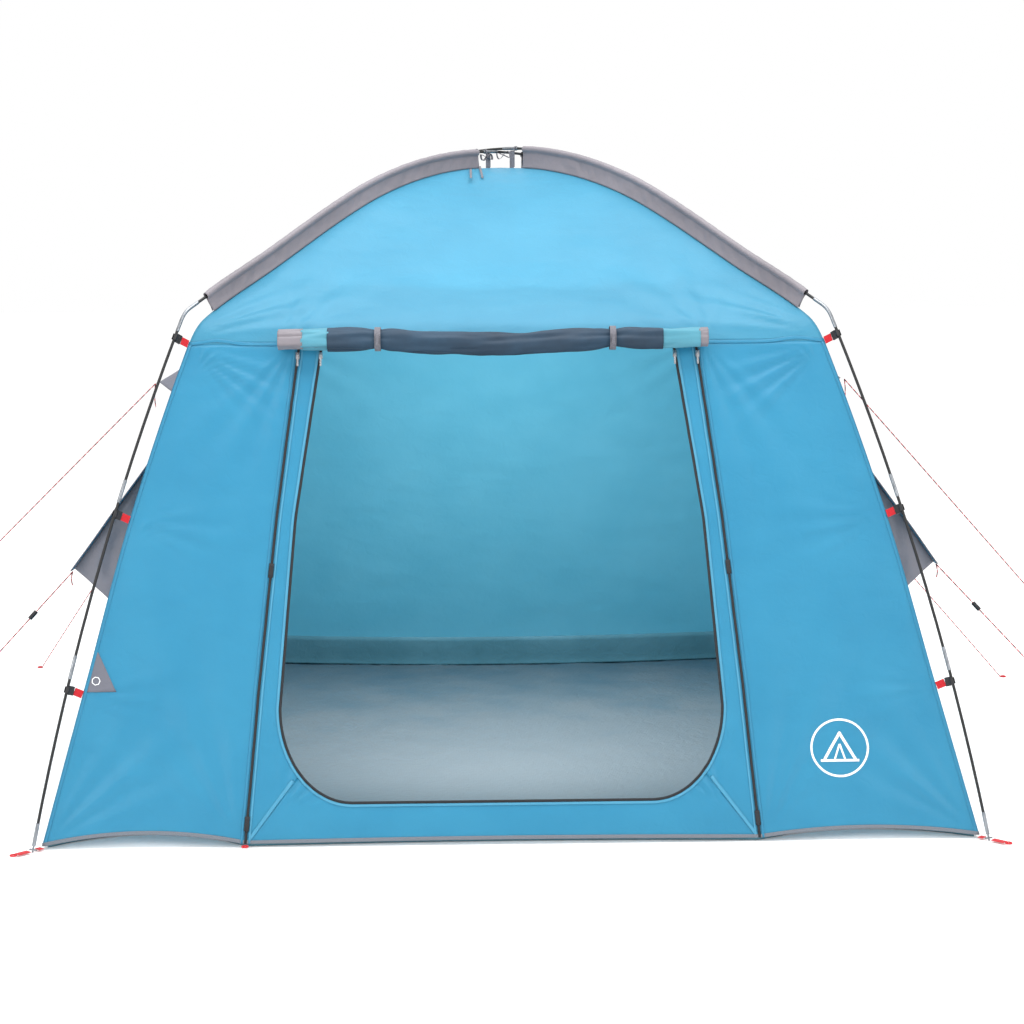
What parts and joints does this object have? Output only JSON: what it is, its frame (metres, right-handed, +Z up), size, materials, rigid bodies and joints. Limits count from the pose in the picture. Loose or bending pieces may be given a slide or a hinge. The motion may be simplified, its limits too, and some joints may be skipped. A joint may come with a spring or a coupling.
{
  "type": "pop up tent",
  "caption": "Square cabin dome tent on two crossed sectional poles, with a rolled-up zip door, side window awnings, vent hoods, guy ropes and a floor tub.",
  "frame": {"origin": "on the ground under the pole crossing, the centre of the footprint", "axes": "+Z up, -Y out of the door, +X to the right when looking in at the door"},
  "size_m": [5.305, 3.1386, 2.2524],
  "materials": {
    "blue_cloth": "satin coated polyester taffeta",
    "grey_cloth": "matt coated polyester",
    "navy_mesh": "fine knitted mesh",
    "floor_sheet": "woven PE, slight sheen",
    "red_webbing": "woven webbing",
    "grey_webbing": "woven tape",
    "zip_black": "nylon coil zip and tape",
    "fibreglass": "pultruded rod, satin",
    "steel": "plated tube",
    "black_plastic": "moulded acetal",
    "elastic": "braided elastic",
    "zinc": "die-cast zinc",
    "guy_rope": "braided cord, red with pale flecks",
    "white_print": "screen print"
  },
  "bodies": {
    "tent": {"back_wall": "blue_cloth", "badge": "white_print", "cable_port_patch": "grey_cloth", "clip_straps": "red_webbing", "crown_straps": "grey_webbing", "crown_ties": "grey_webbing", "door_mesh_roll": "navy_mesh", "door_panel_roll": "blue_cloth", "door_roll_hems": "grey_cloth", "door_surround": "blue_cloth", "door_ties": "grey_webbing", "door_zip": "zip_black", "floor_tub": "floor_sheet", "foot_rings": "steel", "front_wall_left": "blue_cloth", "front_wall_right": "blue_cloth", "guy_rope_left_far": "guy_rope", "guy_rope_left_near": "guy_rope", "guy_rope_left_vent": "guy_rope", "guy_rope_loops": "red_webbing", "guy_rope_right_far": "guy_rope", "guy_rope_right_near": "guy_rope", "guy_rope_right_vent": "guy_rope", "hem_binding": "grey_cloth", "left_awning_gussets": "grey_cloth", "left_wall": "blue_cloth", "outer_zips": "zip_black", "peg_loops": "red_webbing", "pole_a_rods": "fibreglass", "pole_b_rods": "fibreglass", "pole_clips": "black_plastic", "pole_elbows": "steel", "pole_ferrules": "steel", "pole_sleeves": "grey_cloth", "pole_tips": "steel", "right_awning_gussets": "grey_cloth", "right_wall": "blue_cloth", "roof_back": "blue_cloth", "roof_front": "blue_cloth", "roof_left": "blue_cloth", "roof_right": "blue_cloth", "shock_cords": "elastic", "vent_hoods": "grey_cloth", "window_and_vent_mesh": "navy_mesh"},
    "slider_outer_left": {"slider_outer_left": "zinc"},
    "pull_outer_left": {"pull_outer_left": "zinc"},
    "slider_outer_right": {"slider_outer_right": "zinc"},
    "pull_outer_right": {"pull_outer_right": "zinc"},
    "slider_door_left": {"slider_door_left": "zinc"},
    "pull_door_left": {"pull_door_left": "zinc"},
    "slider_door_right": {"slider_door_right": "zinc"},
    "pull_door_right": {"pull_door_right": "zinc"},
    "runner_left_near": {"runner_left_near": "black_plastic"},
    "runner_left_far": {"runner_left_far": "black_plastic"},
    "runner_right_near": {"runner_right_near": "black_plastic"},
    "runner_right_far": {"runner_right_far": "black_plastic"},
    "runner_left_vent": {"runner_left_vent": "black_plastic"},
    "runner_right_vent": {"runner_right_vent": "black_plastic"},
    "awning_left": {"left_awning": "blue_cloth"},
    "awning_right": {"right_awning": "blue_cloth"}
  },
  "joints": [
    {"name": "slider_outer_left_slide", "type": "slide", "parent": "tent", "child": "slider_outer_left", "axis": [-0.1209, -0.3039, -0.945], "range_m": [0, 0.5]},
    {"name": "pull_outer_left_swing", "type": "hinge", "parent": "slider_outer_left", "child": "pull_outer_left", "pos_m": [-0.68712, -1.06427, 1.52768], "axis": [-1, 0, 0], "range_deg": [0, 95]},
    {"name": "slider_outer_right_slide", "type": "slide", "parent": "tent", "child": "slider_outer_right", "axis": [0.1209, -0.3039, -0.945], "range_m": [0, 0.5]},
    {"name": "pull_outer_right_swing", "type": "hinge", "parent": "slider_outer_right", "child": "pull_outer_right", "pos_m": [0.62312, -1.06427, 1.52768], "axis": [-1, 0, 0], "range_deg": [0, 95]},
    {"name": "slider_door_left_slide", "type": "slide", "parent": "tent", "child": "slider_door_left", "axis": [-0.1465, -0.3029, -0.9417], "range_m": [0, 0.5]},
    {"name": "pull_door_left_swing", "type": "hinge", "parent": "slider_door_left", "child": "pull_door_left", "pos_m": [-0.61189, -1.06427, 1.52768], "axis": [-1, 0, 0], "range_deg": [0, 95]},
    {"name": "slider_door_right_slide", "type": "slide", "parent": "tent", "child": "slider_door_right", "axis": [0.1465, -0.3029, -0.9417], "range_m": [0, 0.5]},
    {"name": "pull_door_right_swing", "type": "hinge", "parent": "slider_door_right", "child": "pull_door_right", "pos_m": [0.54789, -1.06427, 1.52768], "axis": [-1, 0, 0], "range_deg": [0, 95]},
    {"name": "runner_left_near_slide", "type": "slide", "parent": "awning_left", "child": "runner_left_near", "axis": [-0.6359, -0.3358, -0.6949], "range_m": [-0.03, 0.09], "deforming": ["guy_rope_left_near"]},
    {"name": "runner_left_far_slide", "type": "slide", "parent": "awning_left", "child": "runner_left_far", "axis": [-0.5007, 0.5475, -0.6705], "range_m": [-0.03, 0.09], "deforming": ["guy_rope_left_far"]},
    {"name": "runner_right_near_slide", "type": "slide", "parent": "awning_right", "child": "runner_right_near", "axis": [0.6359, -0.3358, -0.6949], "range_m": [-0.03, 0.09], "deforming": ["guy_rope_right_near"]},
    {"name": "runner_right_far_slide", "type": "slide", "parent": "awning_right", "child": "runner_right_far", "axis": [0.6637, 0.2045, -0.7195], "range_m": [-0.03, 0.09], "deforming": ["guy_rope_right_far"]},
    {"name": "runner_left_vent_slide", "type": "slide", "parent": "tent", "child": "runner_left_vent", "axis": [-0.7094, -0.0301, -0.7042], "range_m": [-0.08, 0.12], "deforming": ["guy_rope_left_vent"]},
    {"name": "runner_right_vent_slide", "type": "slide", "parent": "tent", "child": "runner_right_vent", "axis": [0.6667, 0.0536, -0.7434], "range_m": [-0.08, 0.12], "deforming": ["guy_rope_right_vent"]},
    {"name": "awning_left_hinge", "type": "hinge", "parent": "tent", "child": "awning_left", "pos_m": [-1.15439, 0, 1.25], "axis": [0, -1, 0], "range_deg": [0, 17], "deforming": ["left_awning_gussets", "guy_rope_left_near", "guy_rope_left_far"]},
    {"name": "awning_right_hinge", "type": "hinge", "parent": "tent", "child": "awning_right", "pos_m": [1.15439, 0, 1.25], "axis": [0, 1, 0], "range_deg": [0, 17], "deforming": ["right_awning_gussets", "guy_rope_right_near", "guy_rope_right_far"]}
  ]
}
